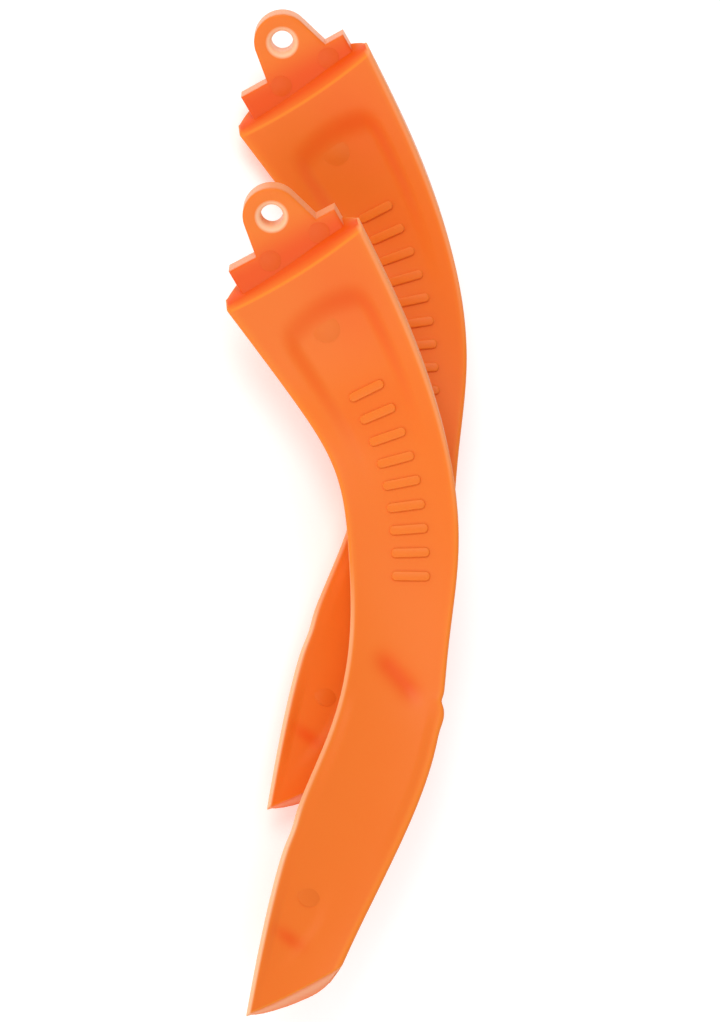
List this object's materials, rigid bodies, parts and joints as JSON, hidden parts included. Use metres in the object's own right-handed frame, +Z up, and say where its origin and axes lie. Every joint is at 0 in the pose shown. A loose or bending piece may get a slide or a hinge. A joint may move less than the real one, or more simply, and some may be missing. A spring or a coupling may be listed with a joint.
{
  "type": "stirrup release arm pair",
  "caption": "Loose one-piece moulded plastic arms, curved and dished, with a stepped tongue and pin eye at the wide end and a slanted narrow end, one laid over the other.",
  "frame": {"origin": "on the table, under the middle of the pair's bounding box", "axes": "+Y along the arms towards their eyes, +X towards the convex edges, +Z up from the table; the arms' dished faces look up"},
  "size_m": [0.0573, 0.1801, 0.0336],
  "materials": {
    "orange_plastic": "satin, slightly translucent bright orange moulding"
  },
  "bodies": {
    "back_arm": {"back_arm": "orange_plastic"},
    "front_arm": {"front_arm": "orange_plastic"}
  },
  "joints": [
    {"name": "front_arm_lift", "type": "slide", "parent": "back_arm", "child": "front_arm", "axis": [0, 0, 1], "range_m": [0, 0.06]}
  ]
}
